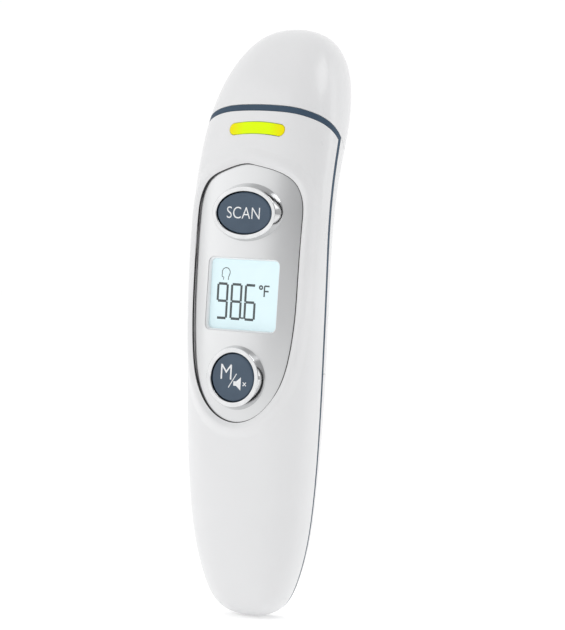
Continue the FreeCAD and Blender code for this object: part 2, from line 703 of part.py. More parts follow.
panel = form(size("panel_sink")).cut(form(size("panel_sink + panel_thickness")))
panel = panel.common(panel_prism(0))
panel = key_openings(panel)
panel = panel.cut(rounded_box(size("display_width"), size("display_height"),
                              size("display_corner"), 0, display_z, -FAR, board_rear))
feature("control_panel", panel)


def plate(label, corners, holes, thickness, rear):
    """A flat plate facing the front: corners and holes are (x, z) expressions."""
    body = doc.addObject("PartDesign::Body", label)
    plane = [item for item in body.Origin.OriginFeatures if item.Role == "XZ_Plane"][0]
    sketch = body.newObject("Sketcher::SketchObject", label + "_outline")
    sketch.AttachmentSupport = [(plane, "")]
    sketch.MapMode = "FlatFace"
    count = len(corners)
    places = [Vector(size(x), size(z), 0) for x, z in corners]
    for index in range(count):
        sketch.addGeometry(Part.LineSegment(places[index], places[(index + 1) % count]), False)
    for index in range(count):
        sketch.addConstraint(
            Sketcher.Constraint("Coincident", index, 2, (index + 1) % count, 1))
    for index, corner in enumerate(corners):
        hold_place(sketch, index, 1, corner, places[index])
    for x, z, radius in holes:
        centre = Vector(size(x), size(z), 0)
        circle = sketch.addGeometry(Part.Circle(centre, Vector(0, 0, 1), size(radius)), False)
        hold_place(sketch, circle, 3, (x, z), centre)
        number = sketch.addConstraint(Sketcher.Constraint("Radius", circle, size(radius)))
        bind(sketch, "Constraints[%d]" % number, radius)
    pad = body.newObject("PartDesign::Pad", label + "_pad")
    pad.Profile = sketch
    bind(pad, "Length", thickness)
    body.Placement = FreeCAD.Placement()
    bind(body, "Placement.Base.y", rear)
    return keep(body, label)


def hold_place(sketch, item, point, place, at):
    """Ties one point of a sketch to expressions for its two distances."""
    for kind, expression, value, axis in (("DistanceX", place[0], at.x, -2),
                                          ("DistanceY", place[1], at.y, -1)):
        if abs(value) < 1e-7:
            sketch.addConstraint(Sketcher.Constraint("PointOnObject", item, point, axis))
            continue
        number = sketch.addConstraint(
            Sketcher.Constraint(kind, -1, 1, item, point, value))
        bind(sketch, "Constraints[%d]" % number, expression)


def oblong(half_width, half_height, middle, x="0"):
    """Corners of a rectangle about a middle level, as expressions."""
    left = "%s - (%s)" % (x, half_width)
    right = "%s + (%s)" % (x, half_width)
    low = "%s - (%s)" % (middle, half_height)
    high = "%s + (%s)" % (middle, half_height)
    return [(left, low), (right, low), (right, high), (left, high)]


DISPLAY_Z = "form_height - display_from_top"
GLASS_HALF_WIDTH = "display_width / 2 + glass_margin"
GLASS_HALF_HEIGHT = "display_height / 2 + glass_margin"
WINDOW_BACK = "window_front + window_plate"
GLASS_BACK = WINDOW_BACK + " + glass_gap + glass_thickness"
LIGHT_BACK = GLASS_BACK + " + backlight_thickness"
plate("display_window", oblong("display_width / 2 + window_lip", "display_height / 2 + window_lip",
                               DISPLAY_Z), [], "window_plate", WINDOW_BACK)
plate("lcd_glass", oblong(GLASS_HALF_WIDTH, GLASS_HALF_HEIGHT, DISPLAY_Z), [],
      "glass_thickness", GLASS_BACK)
plate("lcd_backlight", oblong(GLASS_HALF_WIDTH, GLASS_HALF_HEIGHT + " - zebra_width", DISPLAY_Z),
      [], "backlight_thickness", LIGHT_BACK)

window_back = size(WINDOW_BACK)
glass_back = size(GLASS_BACK)
zebra_high = size(GLASS_HALF_HEIGHT)
zebras = []
zebra_tall = size("zebra_width - glass_gap")
for foot in (display_z - zebra_high, display_z + zebra_high - zebra_tall):
    zebras.append(Part.makeBox(
        2 * (size(GLASS_HALF_WIDTH) - size("zebra_end")), board_front - glass_back, zebra_tall,
        Vector(size("zebra_end") - size(GLASS_HALF_WIDTH), glass_back, foot)))
feature("zebra_strips", Part.makeCompound(zebras))

frame_front = window_back + size("2 * glass_gap")
display_frame = rounded_box(2 * frame_half_width, 2 * frame_half_height, size("frame_corner"),
                            0, display_z, frame_front, board_front)
glass_room = rounded_box(2 * size(GLASS_HALF_WIDTH) + size("glass_gap"),
                         2 * size(GLASS_HALF_HEIGHT) + size("glass_gap"), 0,
                         0, display_z, frame_front - OVER, board_front + OVER)
feature("lcd_frame", display_frame.cut(glass_room))

# ---------------------------------------------------------------- main board

BOARD_TOP = "form_height - board_from_top"
BOARD_REAR = "board_front + board_thickness"
SCAN_Z = "form_height - scan_from_top"
MEMORY_Z = "form_height - memory_from_top"
LOW_SCREW_Z = "form_height - low_screw_from_top"
HIGH_SCREW_Z = "form_height - high_screw_from_top"
SCREW_HOLE = "screw_radius + screw_play"
half_board = [
    ("board_width / 2 - board_corner", "board_low"),
    ("board_width / 2", "board_low + board_corner"),
    ("board_width / 2", BOARD_TOP + " - board_tongue"),
    ("board_tongue_width / 2", BOARD_TOP + " - board_tongue + board_corner"),
    ("board_tongue_width / 2", BOARD_TOP)]
other_half = [("-(%s)" % x, z) for x, z in reversed(half_board)]
plate("main_board", half_board + other_half, [
    ("-low_screw_offset", LOW_SCREW_Z, SCREW_HOLE), ("low_screw_offset", LOW_SCREW_Z, SCREW_HOLE),
    ("0", HIGH_SCREW_Z, SCREW_HOLE)], "board_thickness", BOARD_REAR)

# Each chip: its left edge, its foot above the display's middle, its width and its length.
CHIPS = [
    (-4.0, 8.0, 8.0, 8.0), (-10.5, 9.0, 4.0, 5.0), (6.5, 9.5, 3.2, 3.0),
    (-10.5, 1.0, 3.0, 1.6), (-10.5, -3.0, 3.0, 1.6), (7.6, -2.0, 2.0, 6.0),
    (7.0, 5.0, 3.2, 1.6), (-8.0, -10.0, 3.2, 2.5), (5.5, -10.5, 2.5, 3.2),
]
chips = [Part.makeBox(width, size("chip_height"), tall, Vector(x, board_rear, display_z + rise))
         for x, rise, width, tall in CHIPS]
feature("board_chips", Part.makeCompound(chips))
turned("buzzer", [
    ("0", "0"), ("buzzer_radius", "0"), ("buzzer_radius", "buzzer_height - buzzer_port / 2"),
    ("buzzer_radius - buzzer_port / 2", "buzzer_height"), ("buzzer_port", "buzzer_height"),
    ("buzzer_port", "buzzer_height - buzzer_port"), ("0", "buzzer_height - buzzer_port"),
], "-90", "0", BOARD_REAR, DISPLAY_Z + " - buzzer_drop")
feature("hall_sensor", Part.makeBox(
    size("hall_width"), size("hall_thickness"), size("hall_height"),
    Vector(size("hall_offset - hall_width / 2"), board_rear,
           height - size("board_from_top + hall_drop + hall_height / 2"))))

# ---------------------------------------------------------------- keys


def key_set(name, z, major, minor, ring_face, ring_spread):
    """A key with its ring, switch and plunger, on one level of the panel."""
    spigot_over = ring_face + ring_spread - size("ring_step")
    surface = place_on_form(FRONT, z) + size("panel_sink")
    face_at = surface - size("ring_proud")
    ring_end = surface + size("ring_sink")
    reach = size("ring_proud + ring_skirt")
    flare = ring_spread / size("ring_proud") * reach
    wires = []
    for over, y in ((ring_face, face_at), (ring_face + flare, face_at + reach)):
        oval = Part.Ellipse(Vector(0, y, z), major + over, minor + over).toShape()
        oval.rotate(Vector(0, y, z), Vector(1, 0, 0), 90)
        wires.append(Part.Wire(oval))
    ring = Part.makeLoft(wires, True, True)
    ring = ring.cut(form(size("panel_sink")))
    ring = ring.fuse(oval_prism(major + spigot_over, minor + spigot_over, z,
                                face_at + size("spigot_start"), ring_end))
    ring = ring.cut(oval_prism(major + size("key_gap"), minor + size("key_gap"), z, -FAR, 0))
    rim = [edge for edge in ring.Edges if abs(edge.BoundBox.YMax - face_at) < 1e-3]
    ring = ring.makeFillet(size("ring_round"), rim)
    feature(name + "_button_ring", ring)

    key_face = surface - size("key_proud")
    flange_at = ring_end + size("key_stop_gap")
    key = oval_prism(major, minor, z, key_face, flange_at)
    crown = [edge for edge in key.Edges if abs(edge.BoundBox.YMax - key_face) < 1e-3]
    key = key.makeFillet(size("key_crown"), crown)
    flange_over = spigot_over - size("flange_gap")
    key = key.fuse(oval_prism(major + flange_over, minor + flange_over, z, flange_at,
                              flange_at + size("key_flange")))
    plunger_top = board_front - size("switch_height + plunger_proud")
    key = key.fuse(round_bar(size("key_stem"), 0, z, flange_at, plunger_top))
    feature(name + "_button", key)

    side = size("switch_side")
    switch = Part.makeBox(side, size("switch_height"), side,
                          Vector(-side / 2, board_front - size("switch_height"), z - side / 2))
    switch_front = board_front - size("switch_height")
    switch = switch.cut(round_bar(size("plunger_radius + plunger_gap"), 0, z,
                                  switch_front - OVER, switch_front + size("switch_well")))
    feature(name + "_switch", switch)
    feature(name + "_plunger", round_bar(size("plunger_radius"), 0, z, plunger_top,
                                         switch_front + size("plunger_sunk")))


ROUND = 0.999
key_set("scan", scan_z, size("scan_major"), size("scan_minor"),
        size("scan_ring_face"), size("scan_ring_spread"))
key_set("memory", memory_z, size("memory_radius"), size("memory_radius") * ROUND,
        size("memory_ring_face"), size("memory_ring_spread"))

# ---------------------------------------------------------------- indicator

lens = form(-size("indicator_proud")).cut(form(size("indicator_depth")))
lens = lens.common(indicator_bar(0))
feature("indicator_lens", lens)
led_z = height - size("indicator_from_top")
leds = [Part.makeBox(size("led_side"), size("led_height"), size("led_side"),
                     Vector(x - size("led_side") / 2, board_front - size("led_height"),
                            led_z - size("led_side + led_drop")))
        for x in (-size("led_pitch"), 0, size("led_pitch"))]
feature("indicator_leds", Part.makeCompound(leds))

# ---------------------------------------------------------------- battery bay

CELL_SPACING = "(2 * cell_radius + cell_apart)"
CELL_Y = "board_front + board_thickness + cell_standoff + cell_radius"
cell_y = size(CELL_Y)
bay_low = size("bay_low")
bay_length = size("cell_length + spring_room + 2 * contact_thickness")
bay_high = bay_low + bay_length
cell_room = size("cell_radius + cell_gap")
cell_offset = size(CELL_SPACING) / 2
tray_half = cell_offset + cell_room + size("tray_wall")
tray_front = board_rear + size("tray_gap")
tray = Part.makeBox(2 * tray_half, cell_y + size("tray_lip") - tray_front,
                    bay_length + 2 * size("tray_wall"),
                    Vector(-tray_half, tray_front, bay_low - size("tray_wall")))
tray = tray.common(form(size("wall + board_gap")))
for way in (-1, 1):
    room = Part.makeCylinder(cell_room, bay_length,
                             Vector(way * cell_offset, cell_y, bay_low))
    tray = tray.cut(room)
tray = tray.cut(Part.makeBox(2 * FAR, FAR, bay_length, Vector(-FAR, cell_y, bay_low)))
for x, z in screw_places:
    tray = tray.cut(round_bar(size("screw_head_radius + screw_play + boss_wall + boss_gap"),
                              x, z, -FAR, FAR))
feature("battery_tray", tray)

for label, side, tilt, foot in (
        ("battery_left", "-" + CELL_SPACING + " / 2", "0",
         "bay_low + contact_thickness + spring_room"),
        ("battery_right", CELL_SPACING + " / 2", "180",
         "bay_low + contact_thickness + cell_length")):
    turned(label, [
        ("0", "0"), ("cell_radius - cell_round", "0"), ("cell_radius", "cell_round"),
        ("cell_radius", "cell_length - nub_height - cell_round"),
        ("cell_radius - cell_round", "cell_length - nub_height"),
        ("nub_radius", "cell_length - nub_height"),
        ("nub_radius", "cell_length - cell_round / 2"),
        ("nub_radius - cell_round / 2", "cell_length"),
        ("0", "cell_length")], tilt, side, CELL_Y, foot)

springs = []
contacts = []
for way in (-1, 1):
    x = way * cell_offset
    sprung_low = way < 0
    start = bay_low + size("contact_thickness") if sprung_low else (
        bay_high - size("contact_thickness") - size("spring_room"))
    wire_radius = size("spring_wire") / 2
    rise = size("spring_room") - size("spring_wire")
    helix = Part.makeHelix(rise / size("spring_turns"), rise, size("spring_radius"))
    profile = Part.Wire(Part.makeCircle(wire_radius, Vector(size("spring_radius"), 0, 0),
                                        Vector(0, 1, 0)))
    spring = Part.Wire(helix).makePipeShell([profile], True, True)
    spring.translate(Vector(x, cell_y, start + wire_radius))
    springs.append(spring)
    for level in (bay_low, bay_high - size("contact_thickness")):
        contact_half = size("contact_side") / 2
        contacts.append(Part.makeBox(2 * contact_half, contact_half + size("contact_reach"),
                                     size("contact_thickness"),
                                     Vector(x - contact_half, cell_y - contact_half, level)))
feature("battery_springs", Part.makeCompound(springs))
feature("battery_contacts", Part.makeCompound(contacts))

pad_front = cell_y + size("cell_radius + pad_gap")
pad = Part.makeBox(size("pad_width"), FAR, size("pad_high - pad_low"),
                   Vector(-size("pad_width") / 2, pad_front, size("pad_low")))
feature("cover_pad", pad.common(form(wall)))

# ---------------------------------------------------------------- screws and label

screws = []
for x, z in screw_places:
    shank = round_bar(size("screw_radius"), x, z, head_seat - size("screw_length"), head_seat)
    head = round_bar(size("screw_head_radius"), x, z, head_seat, head_seat + size("screw_head"))
    screw = shank.fuse(head)
    for turn in (0, 90):
        slot = Part.makeBox(size("slot_length"), OVER, size("slot_width"), Vector(
            x - size("slot_length") / 2, head_seat + size("screw_head - slot_depth"),
            z - size("slot_width") / 2))
        slot.rotate(Vector(x, 0, z), Vector(0, 1, 0), turn)
        screw = screw.cut(slot)
    screws.append(screw)
feature("case_screws", Part.makeCompound(screws))

label = rounded_box(size("label_width"), size("label_height"), size("label_corner"),
                    0, label_z, 0, FAR)
feature("rating_label", label.common(form(size("label_under")).cut(form(size("label_sink")))))

# ---------------------------------------------------------------- check and write

doc.recompute()
for item in doc.Objects:
    if "Invalid" in item.State or "Error" in item.State:
        raise ValueError("%s: %s" % (item.Label, item.State))
labels = [item.Label for item in nodes]
if len(set(labels)) != len(labels):
    raise ValueError("two pieces share a name")
for item in nodes:
    if item.Shape.isNull() or not item.Shape.isValid() or not item.Shape.Solids:
        raise ValueError("%s has no sound solid" % item.Label)
os.makedirs("parts", exist_ok=True)
for item in nodes:
    item.Shape.exportStep("parts/%s.step" % item.Label)
print("%d nodes" % len(nodes))
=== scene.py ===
import math

import bpy
from mathutils import Matrix, Vector, geometry
from mathutils.bvhtree import BVHTree


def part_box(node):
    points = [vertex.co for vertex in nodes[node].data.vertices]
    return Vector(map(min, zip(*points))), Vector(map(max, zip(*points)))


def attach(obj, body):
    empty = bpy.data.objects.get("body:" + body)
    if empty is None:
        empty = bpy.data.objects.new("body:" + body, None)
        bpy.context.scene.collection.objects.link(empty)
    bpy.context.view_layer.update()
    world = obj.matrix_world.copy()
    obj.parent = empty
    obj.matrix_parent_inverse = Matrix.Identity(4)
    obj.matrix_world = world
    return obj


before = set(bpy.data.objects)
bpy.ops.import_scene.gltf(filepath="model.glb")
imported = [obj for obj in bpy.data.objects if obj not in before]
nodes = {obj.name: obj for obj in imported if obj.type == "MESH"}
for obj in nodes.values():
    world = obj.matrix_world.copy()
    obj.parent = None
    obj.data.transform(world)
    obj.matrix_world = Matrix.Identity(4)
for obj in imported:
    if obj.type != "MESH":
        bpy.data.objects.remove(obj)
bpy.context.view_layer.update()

MM = 0.001

# ---- The four shell mouldings
# Front shell, rear shell, battery cover and head cap are injection moulded in white ABS
# with a fine satin skin. The screws on the rear hold the two halves together.

CLOUD_LOW = 0.3
CLOUD_HIGH = 0.7
CLOUD_DETAIL = 4
SKIN_DETAIL = 3
SKIN_STRENGTH = 0.4


def finish(name, dark, light, cloud, rough, skin, depth, **sockets):
    """A surface with a cloudy colour between two tones, uneven gloss and a fine skin.

    cloud and skin are the sizes of the cloudiness and of the skin, and depth is the skin's
    relief, all in millimetres. The sockets are set on the shader, spaces written as _.
    """
    material = bpy.data.materials.new(name)
    material.use_nodes = True
    tree = material.node_tree
    shader = tree.nodes["Principled BSDF"]
    place = tree.nodes.new("ShaderNodeTexCoord")
    clouds = tree.nodes.new("ShaderNodeTexNoise")
    clouds.inputs["Scale"].default_value = 1 / (cloud * MM)
    clouds.inputs["Detail"].default_value = CLOUD_DETAIL
    tree.links.new(place.outputs["Object"], clouds.inputs["Vector"])
    tones = tree.nodes.new("ShaderNodeValToRGB")
    tones.name = "tones"
    tones.color_ramp.elements[0].position = CLOUD_LOW
    tones.color_ramp.elements[0].color = (*dark, 1)
    tones.color_ramp.elements[1].position = CLOUD_HIGH
    tones.color_ramp.elements[1].color = (*light, 1)
    tree.links.new(clouds.outputs["Fac"], tones.inputs["Fac"])
    tree.links.new(tones.outputs["Color"], shader.inputs["Base Color"])
    gloss = tree.nodes.new("ShaderNodeMapRange")
    gloss.inputs["From Min"].default_value = CLOUD_LOW
    gloss.inputs["From Max"].default_value = CLOUD_HIGH
    gloss.inputs["To Min"].default_value = rough[0]
    gloss.inputs["To Max"].default_value = rough[1]
    tree.links.new(clouds.outputs["Fac"], gloss.inputs["Value"])
    tree.links.new(gloss.outputs["Result"], shader.inputs["Roughness"])
    grain = tree.nodes.new("ShaderNodeTexNoise")
    grain.inputs["Scale"].default_value = 1 / (skin * MM)
    grain.inputs["Detail"].default_value = SKIN_DETAIL
    tree.links.new(place.outputs["Object"], grain.inputs["Vector"])
    relief = tree.nodes.new("ShaderNodeBump")
    relief.inputs["Strength"].default_value = SKIN_STRENGTH
    relief.inputs["Distance"].default_value = depth * MM
    tree.links.new(grain.outputs["Fac"], relief.inputs["Height"])
    tree.links.new(relief.outputs["Normal"], shader.inputs["Normal"])
    for socket, value in sockets.items():
        shader.inputs[socket.replace("_", " ")].default_value = value
    return material


def dress(material, *names):
    """Gives CAD nodes their finish."""
    for name in names:
        slots = nodes[name].data.materials
        slots.clear()
        slots.append(material)


shell_white = finish("shell_white", (0.765, 0.767, 0.773), (0.78, 0.782, 0.788), 14,
                     (0.27, 0.32), 0.35, 0.008, Coat_Weight=0.25, Coat_Roughness=0.12)
dress(shell_white, "front_shell", "rear_shell", "battery_cover", "head_cap")

# ---- The raised bead round the control panel
# Part of the front shell's moulding: a soft ridge that rolls over into the panel's recess
# on its inner side and runs out into the shell on its outer side.

BEAD_WIDTH = 4.2 * MM
BEAD_HEIGHT = 0.55 * MM
BEAD_CREST = 0.34
BEAD_INNER = 0.28 * MM
BEAD_LIP = 0.6 * MM
BEAD_UNDERCUT = 0.1 * MM
BEAD_FADE = 0.02 * MM
BEAD_ROUNDING = 1.4
BEAD_GATHERING = 1.5
BEAD_AROUND = 288
BEAD_ROWS = 18
CURVING = 0.75
PROBE_START = -50 * MM
SMOOTHINGS = 6


class Skin:
    """The curved surface that a CAD node's triangles stand for."""

    def __init__(self, node):
        mesh = nodes[node].data
        mesh.calc_loop_triangles()
        self.corners = [vertex.co.copy() for vertex in mesh.vertices]
        self.faces = [tuple(face.vertices) for face in mesh.loop_triangles]
        self.normals = [[mesh.corner_normals[loop].vector.copy() for loop in face.loops]
                        for face in mesh.loop_triangles]
        self.tree = BVHTree.FromPolygons(self.corners, self.faces)

    def smooth(self, hit, face):
        """A point of a triangle moved onto the curved surface, and the normal there."""
        corners = [self.corners[index] for index in self.faces[face]]
        areas = [geometry.area_tri(hit, corners[number - 1], corners[number - 2])
                 for number in range(3)]
        normal = Vector()
        curved = Vector()
        for number in range(3):
            share = areas[number] / sum(areas)
            direction = self.normals[face][number]
            normal += direction * share
            curved += (hit - direction * (hit - corners[number]).dot(direction)) * share
        return hit.lerp(curved, CURVING), normal.normalized()

    def meet(self, x, z):
        """Where a line from the front first meets the surface, and the normal there."""
        hit, _, face, _ = self.tree.ray_cast(Vector((x, PROBE_START, z)), Vector((0, 1, 0)))
        return self.smooth(hit, face)

    def nearest(self, point):
        """The point of the surface nearest to another, and the surface's normal there."""
        hit, _, face, _ = self.tree.find_nearest(point)
        return self.smooth(hit, face)


def outline(node, count):
    """Evenly spaced points round a node's outline, seen from the front and smoothed."""
    flat = [Vector((vertex.co.x, vertex.co.z)) for vertex in nodes[node].data.vertices]
    edge = [flat[index] for index in geometry.convex_hull_2d(flat)]
    lengths = [(edge[index] - edge[index - 1]).length for index in range(len(edge))]
    step = sum(lengths) / count
    points = []
    travelled = 0.0
    for index, length in enumerate(lengths):
        while len(points) * step < travelled + length and len(points) < count:
            share = (len(points) * step - travelled) / length
            points.append(edge[index - 1].lerp(edge[index], share))
        travelled += length
    for _ in range(SMOOTHINGS):
        points = [(points[index - 1] + points[index] * 2 + points[(index + 1) % count]) / 4
                  for index in range(count)]
    return points


def outward_ways(points):
    """The outward direction at each point of a closed outline."""
    count = len(points)
    middle = sum(points, Vector((0, 0))) / count
    ways = []
    for index in range(count):
        along = points[(index + 1) % count] - points[index - 1]
        way = Vector((along.y, -along.x)).normalized()
        ways.append(way if way.dot(points[index] - middle) > 0 else -way)
    return ways


def mesh_piece(name, corners, faces, material, smooth=True):
    """A new object at the origin, with one finish."""
    mesh = bpy.data.meshes.new(name)
    mesh.from_pydata(corners, [], faces)
    mesh.validate()
    mesh.materials.append(material)
    mesh.polygons.foreach_set("use_smooth", [smooth] * len(mesh.polygons))
    mesh.update()
    piece = bpy.data.objects.new(name, mesh)
    bpy.context.scene.collection.objects.link(piece)
    return piece


def grid_faces(around, rows):
    """Faces of a ring-shaped grid, its corners listed ring after ring."""
    faces = []
    for row in range(rows - 1):
        for step in range(around):
            following = (step + 1) % around
            low = row * around
            high = low + around
            faces.append((low + step, low + following, high + following, high + step))
    return faces


def bead_lift(share):
    """The bead's height above the shell, from its inner edge (0) to its outer edge (1)."""
    if share < BEAD_CREST:
        return BEAD_HEIGHT * math.sin(math.pi / 2 * share / BEAD_CREST) ** BEAD_ROUNDING
    return BEAD_HEIGHT * math.cos(math.pi / 2 * (share - BEAD_CREST) / (1 - BEAD_CREST)) ** 2


front_skin = Skin("front_shell")
panel_edge = outline("control_panel", BEAD_AROUND)
panel_ways = outward_ways(panel_edge)
bead_rows = [[] for _ in range(BEAD_ROWS + 1)]
for point, way in zip(panel_edge, panel_ways):
    start = point + way * BEAD_INNER
    surface, normal = front_skin.meet(start.x, start.y)
    heading = Vector((way.x, 0, way.y))
    travelled = 0.0
    for row in range(BEAD_ROWS):
        share = (row / (BEAD_ROWS - 1)) ** BEAD_GATHERING
        heading = (heading - normal * heading.dot(normal)).normalized()
        surface, normal = front_skin.nearest(
            surface + heading * (BEAD_WIDTH * share - travelled))
        travelled = BEAD_WIDTH * share
        if row == 0:
            bead_rows[0].append(surface - normal * BEAD_LIP - heading * BEAD_UNDERCUT)
        bead_rows[row + 1].append(surface + normal * (bead_lift(share) - BEAD_FADE * share))
panel_bead = mesh_piece("panel_bead", sum(bead_rows, []),
                        grid_faces(BEAD_AROUND, BEAD_ROWS + 1), shell_white)
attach(panel_bead, "handle")

# ---- The band at the shoulder and down the seam
# One strip of slate blue plastic, clamped between the shells: it shows as a thin line at
# each side and as a collar under the head cap.

SLATE = (0.040, 0.070, 0.110)
SLATE_LIGHT = (0.052, 0.086, 0.130)
trim_blue = finish("trim_blue", SLATE, SLATE_LIGHT, 6, (0.5, 0.6), 0.3, 0.01,
                   Specular_IOR_Level=0.2)
dress(trim_blue, "trim_band")

# ---- Head cap fittings
# A soft grey ring lines the sensor's opening in the cap, and two magnets, glued into pads
# on the cap's inner wall, hold the cap on.

grommet_grey = finish("grommet_grey", (0.30, 0.31, 0.32), (0.36, 0.37, 0.38), 3, (0.5, 0.6),
                      0.2, 0.015)
inner_white = finish("inner_white", (0.70, 0.70, 0.69), (0.76, 0.76, 0.75), 8, (0.4, 0.5),
                     0.3, 0.015)
magnet_nickel = finish("magnet_nickel", (0.55, 0.54, 0.52), (0.70, 0.69, 0.67), 1.5,
                       (0.18, 0.32), 0.1, 0.004, Metallic=1.0)
dress(grommet_grey, "cap_grommet")
dress(inner_white, "cap_magnet_seats", "probe_collar", "battery_tray", "lcd_frame")
dress(magnet_nickel, "cap_magnets", "collar_magnets")

# ---- The probe
# A polished white nozzle stands on the collar. A gold plated tube inside it leads to the
# infrared sensor, a steel can in a brass holder, behind a dark silicon window.

probe_white = finish("probe_white", (0.78, 0.78, 0.77), (0.83, 0.83, 0.82), 5, (0.14, 0.2),
                     0.25, 0.004, Coat_Weight=0.4, Coat_Roughness=0.06)
window_dark = finish("window_dark", (0.02, 0.02, 0.03), (0.05, 0.045, 0.05), 1.5, (0.05, 0.1),
                     0.1, 0.002, Metallic=0.3)
gold_tube = finish("gold_tube", (0.80, 0.52, 0.20), (0.95, 0.68, 0.32), 1.2, (0.1, 0.2),
                   0.15, 0.004, Metallic=1.0)
can_steel = finish("can_steel", (0.50, 0.50, 0.50), (0.66, 0.66, 0.65), 1.5, (0.2, 0.32),
                   0.12, 0.005, Metallic=1.0)
holder_brass = finish("holder_brass", (0.62, 0.44, 0.20), (0.78, 0.58, 0.30), 2, (0.25, 0.4),
                      0.15, 0.008, Metallic=1.0)
flex_amber = finish("flex_amber", (0.45, 0.17, 0.03), (0.60, 0.27, 0.06), 1.2, (0.25, 0.35),
                    0.2, 0.006, Coat_Weight=0.3)
dress(probe_white, "probe_nozzle")
dress(window_dark, "probe_window")
dress(gold_tube, "waveguide_tube")
dress(can_steel, "sensor_can")
dress(holder_brass, "sensor_holder")
dress(flex_amber, "sensor_flex")

# ---- The control panel
# A thin curved plate in silver lacquer, glued into the front shell's recess. Fine metal
# flakes in the lacquer give it a soft metallic sheen.

panel_silver = finish("panel_silver", (0.64, 0.645, 0.65), (0.66, 0.665, 0.67), 20,
                      (0.30, 0.32), 0.12, 0.002, Metallic=0.95, Coat_Weight=0.1,
                      Coat_Roughness=0.15)
dress(panel_silver, "control_panel")

# ---- The seam round the control panel
# A thin near-black strip down in the gap between the panel's edge and the recess is painted
# shade: it stands in for the shadow in the gap. Its profile is (out from the panel's edge, back
# from the panel's face), in millimetres.

SEAM_SAMPLE = 0.3 * MM
SEAM_PROFILE = ((-0.02, 0.60), (0.0, -0.10), (0.08, -0.37), (0.20, -0.38), (0.27, -0.30),
                (0.30, 0.60))
# Near black: painted shade for the shadow down in the gap round the panel.
seam_painted_shade = finish("seam_painted_shade", (0.012, 0.012, 0.013), (0.02, 0.02, 0.022), 1.5, (0.5, 0.6),
                   0.2, 0.01)


def closing_faces(around, rows):
    """Faces that join a grid's last ring to its first."""
    last = (rows - 1) * around
    return [(last + step, last + (step + 1) % around, (step + 1) % around, step)
            for step in range(around)]


panel_skin = Skin("control_panel")
seam_rows = [[] for _ in SEAM_PROFILE]
for point, way in zip(panel_edge, panel_ways):
    start = point - way * SEAM_SAMPLE
    surface, _ = panel_skin.meet(start.x, start.y)
    for row, (out, deep) in zip(seam_rows, SEAM_PROFILE):
        across = point + way * (out * MM)
        row.append((across.x, surface.y + deep * MM, across.y))
seam_faces = grid_faces(BEAD_AROUND, len(SEAM_PROFILE))
seam_faces += closing_faces(BEAD_AROUND, len(SEAM_PROFILE))
# The dark strip is painted shade, laid where the gap's shadow falls.
panel_seam_shade = mesh_piece("panel_seam_shade", sum(seam_rows, []), seam_faces, seam_painted_shade)
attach(panel_seam_shade, "handle")

# ---- The two keys and their rings
# Slate blue keys, pad printed in white, press into silver rings. A ring's face is satin and
# its flared side is polished.

ring_silver = finish("ring_silver", (0.64, 0.645, 0.65), (0.72, 0.725, 0.73), 3, (0.05, 0.1),
                     0.1, 0.004, Metallic=1.0)
key_blue = finish("key_blue", SLATE, SLATE_LIGHT, 5, (0.30, 0.38), 0.2, 0.008)
print_white = finish("print_white", (0.80, 0.81, 0.82), (0.88, 0.89, 0.90), 0.8, (0.4, 0.5),
                     0.1, 0.003)
RING_SATIN = 0.30
RING_POLISH = 0.07
SIDE_FACING = -0.75
FRONT_FACING = -0.98


def satin_faces(material):
    """Roughens the parts of a finish that face the front, and leaves its sides polished."""
    tree = material.node_tree
    place = tree.nodes.new("ShaderNodeTexCoord")
    split = tree.nodes.new("ShaderNodeSeparateXYZ")
    tree.links.new(place.outputs["Normal"], split.inputs["Vector"])
    facing = tree.nodes.new("ShaderNodeMapRange")
    facing.inputs["From Min"].default_value = SIDE_FACING
    facing.inputs["From Max"].default_value = FRONT_FACING
    facing.inputs["To Min"].default_value = RING_POLISH
    facing.inputs["To Max"].default_value = RING_SATIN
    tree.links.new(split.outputs["Y"], facing.inputs["Value"])
    shader = tree.nodes["Principled BSDF"]
    tree.links.new(facing.outputs["Result"], shader.inputs["Roughness"])


satin_faces(ring_silver)
dress(ring_silver, "scan_button_ring", "memory_button_ring")
dress(key_blue, "scan_button", "memory_button")

PRINT_THICKNESS = 0.04 * MM
PRINT_TALL = 1.12
TEXT_DEPTH = 0.01
TEXT_THINNING = -0.008
SCAN_WORD_WIDTH = 9.4 * MM
SCAN_WORD_X = -0.2 * MM
LETTER_WIDTH = 3.1 * MM
LETTER_X = -1.9 * MM
LETTER_UP = 1.3 * MM


def lettering(name, words, width, x, z, face):
    """Words printed on a key's face, facing the front, as a thin mesh."""
    text = bpy.data.curves.new(name, "FONT")
    text.body = words
    text.align_x = "CENTER"
    text.align_y = "CENTER"
    text.resolution_u = 6
    draft = bpy.data.objects.new(name + "_draft", text)
    bpy.context.scene.collection.objects.link(draft)
    text.extrude = TEXT_DEPTH
    text.offset = TEXT_THINNING
    bpy.context.view_layer.update()
    mesh = bpy.data.meshes.new_from_object(
        draft.evaluated_get(bpy.context.evaluated_depsgraph_get()))
    bpy.data.objects.remove(draft)
    low = Vector(map(min, *[vertex.co for vertex in mesh.vertices]))
    high = Vector(map(max, *[vertex.co for vertex in mesh.vertices]))
    share = width / (high.x - low.x)
    flat = Matrix.Diagonal((share, share * PRINT_TALL, PRINT_THICKNESS / (2 * TEXT_DEPTH), 1))
    mesh.transform(Matrix.Translation((-(low.x + high.x) / 2, -(low.y + high.y) / 2, 0)))
    mesh.transform(flat)
    mesh.transform(Matrix.Rotation(math.radians(90), 4, "X"))
    mesh.transform(Matrix.Translation((x, face, z)))
    mesh.materials.clear()
    mesh.materials.append(print_white)
    piece = bpy.data.objects.new(name, mesh)
    bpy.context.scene.collection.objects.link(piece)
    return piece


def middle_of(node):
    """The middle of a node's box, and its front."""
    low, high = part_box(node)
    return (low + high) / 2, low.y


